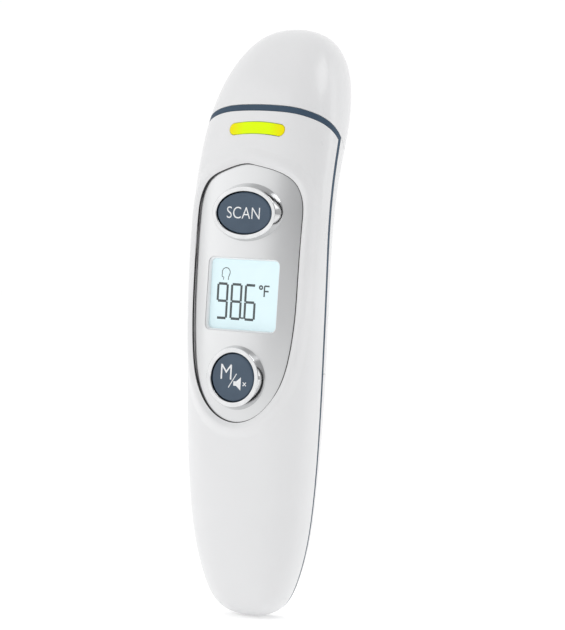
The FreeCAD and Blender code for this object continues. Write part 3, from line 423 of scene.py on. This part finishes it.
scan_middle, scan_front = middle_of("scan_button")
scan_word = lettering("scan_word", "SCAN", SCAN_WORD_WIDTH, SCAN_WORD_X, scan_middle.z,
                      scan_front)
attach(scan_word, "scan_key")
memory_middle, memory_front = middle_of("memory_button")
memory_letter = lettering("memory_letter", "M", LETTER_WIDTH, LETTER_X,
                          memory_middle.z + LETTER_UP, memory_front)
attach(memory_letter, "memory_key")


def stroke_tree():
    """A node tree that lays a round-edged flat stroke along each run of edges."""
    tree = bpy.data.node_groups.new("printed_strokes", "GeometryNodeTree")
    ports = tree.interface
    ports.new_socket("Runs", in_out="INPUT", socket_type="NodeSocketGeometry")
    for socket, kind in (("Width", "NodeSocketFloat"), ("Thickness", "NodeSocketFloat"),
                         ("End gap", "NodeSocketFloat"), ("Finish", "NodeSocketMaterial")):
        ports.new_socket(socket, in_out="INPUT", socket_type=kind)
    ports.new_socket("Strokes", in_out="OUTPUT", socket_type="NodeSocketGeometry")

    def add(kind, **settings):
        node = tree.nodes.new(kind)
        for setting, value in settings.items():
            setattr(node, setting, value)
        return node

    def join(out, into):
        tree.links.new(out, into)

    given = add("NodeGroupInput")
    result = add("NodeGroupOutput")
    runs = add("GeometryNodeMeshToCurve")
    join(given.outputs["Runs"], runs.inputs["Mesh"])
    length = add("GeometryNodeSplineLength")
    last = add("ShaderNodeMath", operation="SUBTRACT")
    join(length.outputs["Length"], last.inputs[0])
    join(given.outputs["End gap"], last.inputs[1])
    trim = add("GeometryNodeTrimCurve", mode="LENGTH")
    join(runs.outputs["Curve"], trim.inputs["Curve"])
    join(given.outputs["End gap"], trim.inputs[4])
    join(last.outputs["Value"], trim.inputs[5])
    profile = add("GeometryNodeCurvePrimitiveCircle")
    profile.inputs["Resolution"].default_value = 8
    half = add("ShaderNodeMath", operation="DIVIDE")
    join(given.outputs["Width"], half.inputs[0])
    half.inputs[1].default_value = 2
    join(half.outputs["Value"], profile.inputs["Radius"])
    sweep = add("GeometryNodeCurveToMesh")
    join(trim.outputs["Curve"], sweep.inputs["Curve"])
    join(profile.outputs["Curve"], sweep.inputs["Profile Curve"])
    sweep.inputs["Fill Caps"].default_value = True
    flatten = add("GeometryNodeTransform")
    share = add("ShaderNodeMath", operation="DIVIDE")
    join(given.outputs["Thickness"], share.inputs[0])
    join(given.outputs["Width"], share.inputs[1])
    scale = add("ShaderNodeCombineXYZ")
    scale.inputs["X"].default_value = 1
    scale.inputs["Z"].default_value = 1
    join(share.outputs["Value"], scale.inputs["Y"])
    join(sweep.outputs["Mesh"], flatten.inputs["Geometry"])
    join(scale.outputs["Vector"], flatten.inputs["Scale"])
    real = add("GeometryNodeRealizeInstances")
    join(flatten.outputs["Geometry"], real.inputs["Geometry"])
    paint = add("GeometryNodeSetMaterial")
    join(real.outputs["Geometry"], paint.inputs["Geometry"])
    join(given.outputs["Finish"], paint.inputs["Material"])
    join(paint.outputs["Geometry"], result.inputs["Strokes"])
    return tree


STROKES = stroke_tree()


def strokes(name, runs, width, thickness, end_gap, material, x, y, z):
    """Printed strokes along runs of (x, z) points, in millimetres, facing the front."""
    corners = []
    edges = []
    for run in runs:
        first = len(corners)
        corners += [(across * MM, 0, up * MM) for across, up in run]
        edges += [(first + index, first + index + 1) for index in range(len(run) - 1)]
    mesh = bpy.data.meshes.new(name + "_runs")
    mesh.from_pydata(corners, edges, [])
    draft = bpy.data.objects.new(name + "_draft", mesh)
    bpy.context.scene.collection.objects.link(draft)
    sweeping = draft.modifiers.new("strokes", "NODES")
    sweeping.node_group = STROKES
    given = {"Width": width, "Thickness": thickness, "End gap": end_gap, "Finish": material}
    for item in STROKES.interface.items_tree:
        if item.name in given:
            sweeping[item.identifier] = given[item.name]
    bpy.context.view_layer.update()
    mesh = bpy.data.meshes.new_from_object(
        draft.evaluated_get(bpy.context.evaluated_depsgraph_get()))
    draft.modifiers.clear()
    bpy.data.objects.remove(draft)
    mesh.transform(Matrix.Translation((x, y, z)))
    mesh.name = name
    piece = bpy.data.objects.new(name, mesh)
    bpy.context.scene.collection.objects.link(piece)
    return piece


def arc(middle, radius, start, finish, count):
    """Points along an arc, its angles in degrees."""
    return [(middle[0] + radius * math.cos(math.radians(start + (finish - start) * step / count)),
             middle[1] + radius * math.sin(math.radians(start + (finish - start) * step / count)))
            for step in range(count + 1)]


def prism_faces(sides):
    """Faces of a prism, its corners listed round the front and then round the back."""
    faces = [tuple(reversed(range(sides))), tuple(range(sides, 2 * sides))]
    faces += [(step, (step + 1) % sides, sides + (step + 1) % sides, sides + step)
              for step in range(sides)]
    return faces


MARK_WIDTH = 0.24 * MM
MARKS_X = -0.2 * MM
SLASH = [(-0.9, -2.6), (1.3, 1.0)]
CROSS = [[(3.2, -1.9), (4.1, -1.0)], [(3.2, -1.0), (4.1, -1.9)]]
HORN = [(0.4, -0.9), (1.2, -0.9), (2.5, 0.2), (2.5, -3.1), (1.2, -2.0), (0.4, -2.0)]
HORN_X = -0.1 * MM
memory_marks = strokes("memory_marks", [SLASH] + CROSS, MARK_WIDTH, 2 * PRINT_THICKNESS, 0.0,
                       print_white, MARKS_X, memory_front, memory_middle.z)
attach(memory_marks, "memory_key")
horn_corners = [(x * MM + HORN_X, memory_front + way * PRINT_THICKNESS / 2,
                 memory_middle.z + z * MM) for way in (-1, 1) for x, z in HORN]
memory_speaker = mesh_piece("memory_speaker", horn_corners, prism_faces(len(HORN)),
                            print_white, False)
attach(memory_speaker, "memory_key")

# ---- The display
# A clear window behind the panel's opening, with the liquid crystal glass and backlight behind
# it. A white gasket lines the opening, and the picture, a sample reading, is on a film just in
# front of the window. The glass and the film glow faintly in pale cyan: a painted glow that
# stands in for the light reaching them through the window.

gasket_white = finish("gasket_white", (0.84, 0.85, 0.86), (0.88, 0.89, 0.90), 4, (0.35, 0.45),
                      0.2, 0.004)
# The faint cyan emission is a painted glow: it stands in for the light that reaches the glass
# through the clear window.
lcd_cyan = finish("lcd_cyan", (0.58, 0.72, 0.75), (0.61, 0.75, 0.78), 9, (0.2, 0.24), 0.3,
                  0.001, Emission_Color=(0.74, 0.88, 0.92, 1), Emission_Strength=0.27)
display_clear = finish("display_clear", (0.92, 0.95, 0.96), (0.95, 0.97, 0.98), 6,
                       (0.02, 0.04), 0.3, 0.001, Transmission_Weight=1.0, IOR=1.45)
segment_grey = finish("segment_grey", (0.055, 0.070, 0.075), (0.085, 0.10, 0.105), 2,
                      (0.3, 0.4), 0.2, 0.002)
backlight_white = finish("backlight_white", (0.80, 0.84, 0.85), (0.86, 0.90, 0.91), 5,
                         (0.4, 0.5), 0.3, 0.004)
zebra_rubber = finish("zebra_rubber", (0.05, 0.05, 0.05), (0.16, 0.15, 0.14), 0.4, (0.5, 0.6),
                      0.1, 0.01)
dress(display_clear, "display_window")
dress(lcd_cyan, "lcd_glass")
dress(backlight_white, "lcd_backlight")
dress(zebra_rubber, "zebra_strips")

OPENING_WIDTH = 20.4 * MM
OPENING_HEIGHT = 18.4 * MM
OPENING_CORNER = 1.6 * MM
OPENING_CLEARANCE = 0.01 * MM
CORNER_POINTS = 8
SIDE_STEPS = 12
LONG_SIDE = 4 * MM
GASKET_BEVEL = 0.55 * MM
GASKET_SAMPLE = 0.25 * MM
GASKET_FOOT = 0.35 * MM
GASKET_RIM = 0.12 * MM
RIM_SHARE = 0.985
LCD_PLANE = -14.15 * MM
PANE_INSET = GASKET_BEVEL * 0.8
FILM_THICKNESS = 0.3 * MM
lcd_middle, _ = middle_of("lcd_glass")


def with_sides(points):
    """The same outline with more points along its straight sides."""
    dense = []
    for index, point in enumerate(points):
        following = points[(index + 1) % len(points)]
        steps = SIDE_STEPS if math.dist(point, following) > LONG_SIDE else 1
        for step in range(steps):
            dense.append((point[0] + (following[0] - point[0]) * step / steps,
                          point[1] + (following[1] - point[1]) * step / steps))
    return dense


def opening_outline(inset, corner):
    """Points round the panel's opening, inset from it, as (x, z)."""
    points = []
    for number in range(4):
        start = 90 * number
        turn = math.radians(start + 45)
        centre = (math.copysign(OPENING_WIDTH / 2 - inset - corner, math.cos(turn)),
                  math.copysign(OPENING_HEIGHT / 2 - inset - corner, math.sin(turn)))
        points += arc(centre, corner, start, start + 90, CORNER_POINTS - 1)
    return with_sides(points)


outer = opening_outline(OPENING_CLEARANCE, OPENING_CORNER)
probing = opening_outline(-GASKET_SAMPLE, OPENING_CORNER + GASKET_SAMPLE)
inner = opening_outline(GASKET_BEVEL, OPENING_CORNER - GASKET_BEVEL)
gasket_rows = [[], [], [], []]
for out, probe, inn in zip(outer, probing, inner):
    surface, _ = panel_skin.meet(probe[0], lcd_middle.z + probe[1])
    rim = surface.y + GASKET_RIM
    gasket_rows[0].append((out[0], LCD_PLANE + GASKET_FOOT, lcd_middle.z + out[1]))
    gasket_rows[1].append((out[0], rim, lcd_middle.z + out[1]))
    gasket_rows[2].append((out[0] * RIM_SHARE, rim, lcd_middle.z + out[1] * RIM_SHARE))
    gasket_rows[3].append((inn[0], LCD_PLANE + GASKET_FOOT, lcd_middle.z + inn[1]))
gasket_faces = grid_faces(len(outer), len(gasket_rows))
gasket_faces += closing_faces(len(outer), len(gasket_rows))
display_gasket = mesh_piece("display_gasket", sum(gasket_rows, []), gasket_faces, gasket_white)
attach(display_gasket, "handle")

pane = opening_outline(PANE_INSET, OPENING_CORNER - PANE_INSET)
film_corners = [(x, LCD_PLANE + back, lcd_middle.z + z)
                for back in (0, FILM_THICKNESS) for x, z in pane]
# The film carries the same painted glow as the glass.
lcd_film = mesh_piece("lcd_film", film_corners, prism_faces(len(pane)), lcd_cyan, False)
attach(lcd_film, "handle")

DIGIT_WIDTH = 2.7
DIGIT_HEIGHT = 8.6
DIGIT_PITCH = 4.0
DECIMAL_POINT = [(7.35, -0.05), (7.35, 0.6)]
READING_X = -7.7 * MM
READING_DOWN = 6.1 * MM
SEGMENT_WIDTH = 0.62 * MM
SEGMENT_THICKNESS = 0.06 * MM
SEGMENT_GAP = 0.12 * MM
SIGN_WIDTH = 0.4 * MM
HEAD_WIDTH = 0.22 * MM
HEAD_X = -0.5 * MM
SEGMENTS = {"9": "abcdfg", "8": "abcdefg", "6": "acdefg"}
ENDS = {"a": ((0, 2), (1, 2)), "b": ((1, 2), (1, 1)), "c": ((1, 1), (1, 0)),
        "d": ((0, 0), (1, 0)), "e": ((0, 1), (0, 0)), "f": ((0, 2), (0, 1)),
        "g": ((0, 1), (1, 1))}
reading = []
for number, digit in enumerate("986"):
    for segment in SEGMENTS[digit]:
        reading.append([(number * DIGIT_PITCH + across * DIGIT_WIDTH,
                         up * DIGIT_HEIGHT / 2) for across, up in ENDS[segment]])
reading.append(DECIMAL_POINT)
lcd_digits = strokes("lcd_digits", reading, SEGMENT_WIDTH, SEGMENT_THICKNESS, SEGMENT_GAP,
                     segment_grey, READING_X, LCD_PLANE, lcd_middle.z - READING_DOWN)
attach(lcd_digits, "handle")
unit = [arc((4.6, 2.1), 0.42, 0, 360, 12), [(5.6, 2.5), (5.6, -0.2)], [(5.6, 2.5), (7.0, 2.5)],
        [(5.6, 1.2), (6.8, 1.2)]]
head = [(-5.9, 3.5), (-5.75, 4.1), (-6.25, 4.3), (-6.3, 4.75)]
head += arc((-5.15, 5.4), 1.15, 200, -25, 12)
head += [(-4.35, 4.3), (-4.45, 3.5)]
lcd_signs = strokes("lcd_signs", unit, SIGN_WIDTH, SEGMENT_THICKNESS, 0.0, segment_grey,
                    0, LCD_PLANE, lcd_middle.z)
head_sign = strokes("head_sign", [head], HEAD_WIDTH, SEGMENT_THICKNESS, 0.0, segment_grey,
                    HEAD_X, LCD_PLANE, lcd_middle.z)
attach(head_sign, "handle")
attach(lcd_signs, "handle")

# ---- The light bar over the panel
# A yellow lens over three small lamps. Its own faint glow stands in for their light, and its
# colour runs from greenish yellow over its middle to a deeper yellow at its ends.

MIDDLE_YELLOW = (0.64, 0.84, 0.0, 1)
END_YELLOW = (0.76, 0.64, 0.0, 1)
FADE_START = 0.45
CLOUD_SHARE = 0.15

lens_yellow = finish("lens_yellow", (0.88, 0.90, 0.80), (1.0, 1.0, 1.0), 4, (0.3, 0.38),
                     0.3, 0.004, Emission_Strength=0.22, Specular_IOR_Level=0.15)
_, lens_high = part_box("indicator_lens")


def fade_to_ends(material, half):
    """Turns a finish a deeper yellow away from the middle of the object."""
    tree = material.node_tree
    place = tree.nodes.new("ShaderNodeTexCoord")
    split = tree.nodes.new("ShaderNodeSeparateXYZ")
    tree.links.new(place.outputs["Object"], split.inputs["Vector"])
    away = tree.nodes.new("ShaderNodeMath")
    away.operation = "ABSOLUTE"
    tree.links.new(split.outputs["X"], away.inputs[0])
    share = tree.nodes.new("ShaderNodeMapRange")
    share.inputs["From Min"].default_value = 0
    share.inputs["From Max"].default_value = half
    tree.links.new(away.outputs["Value"], share.inputs["Value"])
    fade = tree.nodes.new("ShaderNodeValToRGB")
    fade.color_ramp.elements[0].position = FADE_START
    fade.color_ramp.elements[0].color = MIDDLE_YELLOW
    fade.color_ramp.elements[1].position = 1.0
    fade.color_ramp.elements[1].color = END_YELLOW
    tree.links.new(share.outputs["Result"], fade.inputs["Fac"])
    blend = tree.nodes.new("ShaderNodeMix")
    blend.data_type = "RGBA"
    blend.blend_type = "MULTIPLY"
    blend.inputs[0].default_value = CLOUD_SHARE
    tree.links.new(fade.outputs["Color"], blend.inputs[6])
    tree.links.new(tree.nodes["tones"].outputs["Color"], blend.inputs[7])
    shader = tree.nodes["Principled BSDF"]
    tree.links.new(blend.outputs[2], shader.inputs["Base Color"])
    tree.links.new(blend.outputs[2], shader.inputs["Emission Color"])


fade_to_ends(lens_yellow, lens_high.x)
led_white = finish("led_white", (0.78, 0.74, 0.40), (0.88, 0.86, 0.60), 0.8, (0.3, 0.4), 0.2,
                   0.004)
dress(lens_yellow, "indicator_lens")
dress(led_white, "indicator_leds")

# ---- The main board and what is soldered to it
# A green glass-epoxy board with its chips, buzzer, key switches and a sensor for the magnets.
# Each switch's plunger is fixed to the back of its key and moves with it.

board_green = finish("board_green", (0.010, 0.10, 0.045), (0.018, 0.16, 0.07), 2.5, (0.3, 0.4),
                     0.25, 0.02, Coat_Weight=0.3)
chip_black = finish("chip_black", (0.012, 0.012, 0.014), (0.03, 0.03, 0.033), 1.5, (0.4, 0.5),
                    0.15, 0.01)
switch_black = finish("switch_black", (0.02, 0.02, 0.022), (0.045, 0.045, 0.05), 2, (0.4, 0.5),
                      0.2, 0.01)
plunger_grey = finish("plunger_grey", (0.55, 0.55, 0.54), (0.64, 0.64, 0.63), 1, (0.4, 0.5),
                      0.15, 0.008)
dress(board_green, "main_board")
dress(chip_black, "board_chips", "buzzer", "hall_sensor")
dress(switch_black, "scan_switch", "memory_switch")
dress(plunger_grey, "scan_plunger", "memory_plunger")

# ---- The battery bay
# Two cells in a white tray, pressed between a coil spring and a flat contact at each end.
# A strip of foam on the cover keeps them from rattling.

cell_wrap = finish("cell_wrap", (0.02, 0.025, 0.035), (0.04, 0.05, 0.065), 6, (0.25, 0.35),
                   0.4, 0.006, Coat_Weight=0.5, Coat_Roughness=0.1)
contact_nickel = finish("contact_nickel", (0.52, 0.51, 0.49), (0.66, 0.65, 0.63), 2,
                        (0.22, 0.35), 0.1, 0.005, Metallic=1.0)
pad_foam = finish("pad_foam", (0.03, 0.03, 0.033), (0.07, 0.07, 0.075), 0.6, (0.85, 0.95), 0.25,
                  0.12)
dress(cell_wrap, "battery_left", "battery_right")
dress(contact_nickel, "battery_springs", "battery_contacts")
dress(pad_foam, "cover_pad")

# ---- Screws and rating label
# Three zinc plated screws close the case from the rear. The label is blank silver film,
# with nothing printed on it.

screw_steel = finish("screw_steel", (0.42, 0.42, 0.43), (0.56, 0.56, 0.57), 0.8, (0.25, 0.4),
                     0.1, 0.006, Metallic=1.0)
label_silver = finish("label_silver", (0.66, 0.67, 0.68), (0.74, 0.75, 0.76), 5, (0.35, 0.45),
                      0.15, 0.006, Metallic=0.6)
dress(screw_steel, "case_screws")
dress(label_silver, "rating_label")

# ---- Floor, camera and light
# A white floor, with a faint glow of its own, in a bright studio. The camera looks nearly
# level at the object's front, from the object's left-hand side, and is rolled a little.

FLOOR_HALF = 3.0
FLOOR_STEPS = 24
floor_marks = [step * FLOOR_HALF / FLOOR_STEPS for step in range(-FLOOR_STEPS, FLOOR_STEPS + 1)]
floor_corners = [(x, y, 0) for y in floor_marks for x in floor_marks]
floor_row = len(floor_marks)
floor_faces = [(low, low + 1, low + floor_row + 1, low + floor_row)
               for row in range(floor_row - 1)
               for low in range(row * floor_row, (row + 1) * floor_row - 1)]
floor_white = finish("floor_white", (0.86, 0.86, 0.86), (0.88, 0.88, 0.88), 400, (0.6, 0.7), 3,
                     0.05, Emission_Color=(1, 1, 1, 1), Emission_Strength=0.30)
floor = mesh_piece("floor", floor_corners, floor_faces, floor_white, False)

TARGET = Vector((0, 0, 0.075))
AZIMUTH = math.radians(29)
ELEVATION = math.radians(1.5)
ROLL = math.radians(3.3)
DISTANCE = 0.600
LENS = 134.4
SENSOR = 36
SHIFT_X = 0.019
SHIFT_Y = 0.0105
LIGHT_DISTANCE = 0.9
back = Vector((math.sin(AZIMUTH) * math.cos(ELEVATION),
               -math.cos(AZIMUTH) * math.cos(ELEVATION), math.sin(ELEVATION)))
right = Vector((math.cos(AZIMUTH), math.sin(AZIMUTH), 0))
up = back.cross(right)
leaning_right = right * math.cos(ROLL) + up * math.sin(ROLL)
leaning_up = up * math.cos(ROLL) - right * math.sin(ROLL)
camera = bpy.data.objects.new("camera", bpy.data.cameras.new("camera"))
bpy.context.scene.collection.objects.link(camera)
camera.data.lens = LENS
camera.data.sensor_width = SENSOR
camera.data.shift_x = SHIFT_X
camera.data.shift_y = SHIFT_Y
camera.matrix_world = Matrix.Translation(TARGET + back * DISTANCE) @ Matrix(
    (leaning_right, leaning_up, back)).transposed().to_4x4()
bpy.context.scene.camera = camera
bpy.context.scene.view_settings.view_transform = "Standard"


def soft_light(name, azimuth, elevation, width, height, power):
    """A softbox that faces the object's middle."""
    lamp = bpy.data.lights.new(name, "AREA")
    lamp.shape = "RECTANGLE"
    lamp.size = width
    lamp.size_y = height
    lamp.energy = power
    way = Vector((math.sin(math.radians(azimuth)) * math.cos(math.radians(elevation)),
                  -math.cos(math.radians(azimuth)) * math.cos(math.radians(elevation)),
                  math.sin(math.radians(elevation))))
    box = bpy.data.objects.new(name, lamp)
    bpy.context.scene.collection.objects.link(box)
    box.matrix_world = Matrix.Translation(TARGET + way * LIGHT_DISTANCE) @ (
        way.to_track_quat("Z", "Y").to_matrix().to_4x4())


soft_light("key_light", -42, 22, 0.7, 0.9, 1.1)
soft_light("top_light", 75, 62, 0.4, 0.4, 1.2)
soft_light("rim_light", 120, 30, 0.35, 0.8, 0.8)

BRIGHT_WAY = Vector((-0.80, 0.58, 0.15)).normalized()
DIM_TONE = (0.40, 0.40, 0.405, 1)
FULL_FROM = 0.85
SKY_STRENGTH = 1.02
world = bpy.data.worlds.new("studio")
world.use_nodes = True
bpy.context.scene.world = world
sky = world.node_tree
ground = sky.nodes["Background"]
looking = sky.nodes.new("ShaderNodeTexCoord")
towards = sky.nodes.new("ShaderNodeVectorMath")
towards.operation = "DOT_PRODUCT"
towards.inputs[1].default_value = BRIGHT_WAY
sky.links.new(looking.outputs["Generated"], towards.inputs[0])
dimming = sky.nodes.new("ShaderNodeValToRGB")
dimming.color_ramp.elements[0].position = 0.0
dimming.color_ramp.elements[0].color = DIM_TONE
dimming.color_ramp.elements[1].position = FULL_FROM
dimming.color_ramp.elements[1].color = (1, 1, 1, 1)
shift = sky.nodes.new("ShaderNodeMapRange")
shift.inputs["From Min"].default_value = -1
shift.inputs["From Max"].default_value = 1
sky.links.new(towards.outputs["Value"], shift.inputs["Value"])
sky.links.new(shift.outputs["Result"], dimming.inputs["Fac"])
sky.links.new(dimming.outputs["Color"], ground.inputs["Color"])
ground.inputs["Strength"].default_value = SKY_STRENGTH
